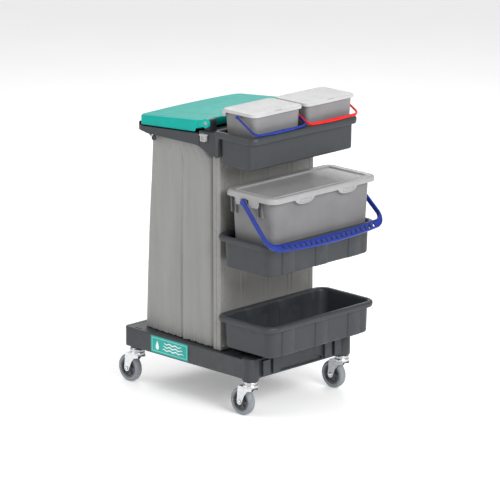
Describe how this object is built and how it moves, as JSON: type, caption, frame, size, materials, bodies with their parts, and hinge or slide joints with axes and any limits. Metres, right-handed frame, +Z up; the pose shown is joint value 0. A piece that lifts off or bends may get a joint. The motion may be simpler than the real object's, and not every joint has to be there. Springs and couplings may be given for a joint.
{
  "type": "housekeeping cart",
  "caption": "Wheeled housekeeping cart with a lidded waste bag on a frame, a column of stacked trays and lidded buckets with swinging handles.",
  "frame": {"origin": "on the floor under the centre of the cart's overall box", "axes": "+X towards the trays, -X towards the waste bag, -Y towards the labelled side, +Z up"},
  "size_m": [0.8282, 0.566, 1.071],
  "materials": {
    "dark_plastic": "dark grey moulded polypropylene, fine texture, soft sheen",
    "column_plastic": "warm grey moulded plastic",
    "pale_plastic": "light grey moulded plastic clips and screws",
    "teal_plastic": "teal moulded plastic, satin",
    "label_print": null,
    "bag_vinyl": "grey coated bag cloth with hanging folds",
    "bucket_plastic": "mid grey moulded plastic, satin",
    "lid_plastic": "pale grey translucent-looking moulded plastic",
    "blue_plastic": "deep blue moulded plastic",
    "red_plastic": "red moulded plastic",
    "zinc_steel": "bright zinc plated pressed steel",
    "chrome_steel": "polished ball hook",
    "wheel_centre": "grey moulded wheel centre",
    "tyre_rubber": "grey non-marking rubber"
  },
  "bodies": {
    "chassis": {"bag_ball_hook_left": "chrome_steel", "bag_ball_hook_right": "chrome_steel", "bag_clip_left": "dark_plastic", "bag_clip_right": "dark_plastic", "bag_frame": "dark_plastic", "base_frame": "dark_plastic", "bottom_tray": "dark_plastic", "bottom_tray_bracket": "dark_plastic", "caster_head_bag_left": "zinc_steel", "caster_head_bag_right": "zinc_steel", "caster_head_tray_left": "zinc_steel", "caster_head_tray_right": "zinc_steel", "column_panel": "column_plastic", "column_screw_high_left": "pale_plastic", "column_screw_high_right": "pale_plastic", "column_screw_low_left": "pale_plastic", "column_screw_low_right": "pale_plastic", "frame_latch_left": "pale_plastic", "frame_latch_right": "pale_plastic", "hinge_bracket_left": "dark_plastic", "hinge_bracket_right": "dark_plastic", "hinge_pin_left": "zinc_steel", "hinge_pin_right": "zinc_steel", "middle_tray": "dark_plastic", "middle_tray_bracket": "dark_plastic", "side_label": "label_print", "top_tray": "dark_plastic", "top_tray_bracket": "dark_plastic", "waste_bag": "bag_vinyl"},
    "main_lid": {"main_lid": "teal_plastic"},
    "large_bucket": {"large_bucket": "bucket_plastic"},
    "large_lid": {"large_bucket_lid": "lid_plastic"},
    "large_handle": {"large_bucket_handle": "blue_plastic"},
    "fork_bag_left": {"caster_fork_bag_left": "zinc_steel", "caster_axle_bag_left": "zinc_steel"},
    "wheel_bag_left": {"wheel_hub_bag_left": "wheel_centre", "wheel_tyre_bag_left": "tyre_rubber"},
    "fork_bag_right": {"caster_fork_bag_right": "zinc_steel", "caster_axle_bag_right": "zinc_steel"},
    "wheel_bag_right": {"wheel_hub_bag_right": "wheel_centre", "wheel_tyre_bag_right": "tyre_rubber"},
    "fork_tray_left": {"caster_fork_tray_left": "zinc_steel", "caster_axle_tray_left": "zinc_steel"},
    "wheel_tray_left": {"wheel_hub_tray_left": "wheel_centre", "wheel_tyre_tray_left": "tyre_rubber"},
    "fork_tray_right": {"caster_fork_tray_right": "zinc_steel", "caster_axle_tray_right": "zinc_steel"},
    "wheel_tray_right": {"wheel_hub_tray_right": "wheel_centre", "wheel_tyre_tray_right": "tyre_rubber"},
    "blue_bucket": {"blue_bucket": "bucket_plastic"},
    "blue_lid": {"blue_bucket_lid": "lid_plastic"},
    "blue_handle": {"blue_bucket_handle": "blue_plastic"},
    "red_bucket": {"red_bucket": "bucket_plastic"},
    "red_lid": {"red_bucket_lid": "lid_plastic"},
    "red_handle": {"red_bucket_handle": "red_plastic"}
  },
  "joints": [
    {"name": "main_lid_hinge", "type": "hinge", "parent": "chassis", "child": "main_lid", "pos_m": [0.03902, 0, 1.0084], "axis": [0, 1, 0], "range_deg": [0, 90]},
    {"name": "swivel_bag_left", "type": "hinge", "parent": "chassis", "child": "fork_bag_left", "pos_m": [-0.32649, -0.227, 0.12], "axis": [0, 0, 1], "continuous": true},
    {"name": "roll_bag_left", "type": "hinge", "parent": "fork_bag_left", "child": "wheel_bag_left", "pos_m": [-0.36408, -0.227, 0.05], "axis": [0, 1, 0], "continuous": true},
    {"name": "swivel_bag_right", "type": "hinge", "parent": "chassis", "child": "fork_bag_right", "pos_m": [-0.32649, 0.227, 0.12], "axis": [0, 0, 1], "continuous": true},
    {"name": "roll_bag_right", "type": "hinge", "parent": "fork_bag_right", "child": "wheel_bag_right", "pos_m": [-0.36408, 0.227, 0.05], "axis": [0, 1, 0], "continuous": true},
    {"name": "swivel_tray_left", "type": "hinge", "parent": "chassis", "child": "fork_tray_left", "pos_m": [0.24152, -0.227, 0.12], "axis": [0, 0, 1], "continuous": true},
    {"name": "roll_tray_left", "type": "hinge", "parent": "fork_tray_left", "child": "wheel_tray_left", "pos_m": [0.20392, -0.227, 0.05], "axis": [0, 1, 0], "continuous": true},
    {"name": "swivel_tray_right", "type": "hinge", "parent": "chassis", "child": "fork_tray_right", "pos_m": [0.24152, 0.227, 0.12], "axis": [0, 0, 1], "continuous": true},
    {"name": "roll_tray_right", "type": "hinge", "parent": "fork_tray_right", "child": "wheel_tray_right", "pos_m": [0.20392, 0.227, 0.05], "axis": [0, 1, 0], "continuous": true},
    {"name": "large_bucket_lift", "type": "slide", "parent": "chassis", "child": "large_bucket", "axis": [0, 0, 1], "range_m": [0, 0.035]},
    {"name": "large_lid_lift", "type": "slide", "parent": "large_bucket", "child": "large_lid", "axis": [0, 0, 1], "range_m": [0, 0.035]},
    {"name": "large_handle_swing", "type": "hinge", "parent": "large_bucket", "child": "large_handle", "pos_m": [0.24441, 0, 0.7705], "axis": [0, -1, 0], "range_deg": [0, 105]},
    {"name": "blue_bucket_lift", "type": "slide", "parent": "chassis", "child": "blue_bucket", "axis": [0, 0, 1], "range_m": [0, 0.2]},
    {"name": "blue_lid_hinge", "type": "hinge", "parent": "blue_bucket", "child": "blue_lid", "pos_m": [0.12051, -0.1145, 1.052], "axis": [0, -1, 0], "range_deg": [0, 95]},
    {"name": "blue_handle_swing", "type": "hinge", "parent": "blue_bucket", "child": "blue_handle", "pos_m": [0.18782, -0.1145, 1.0524], "axis": [0, -1, 0], "range_deg": [0, 115]},
    {"name": "red_bucket_lift", "type": "slide", "parent": "chassis", "child": "red_bucket", "axis": [0, 0, 1], "range_m": [0, 0.2]},
    {"name": "red_lid_hinge", "type": "hinge", "parent": "red_bucket", "child": "red_lid", "pos_m": [0.12351, 0.139, 1.052], "axis": [0, -1, 0], "range_deg": [0, 95]},
    {"name": "red_handle_swing", "type": "hinge", "parent": "red_bucket", "child": "red_handle", "pos_m": [0.19082, 0.139, 1.0524], "axis": [0, -1, 0], "range_deg": [0, 115]}
  ]
}
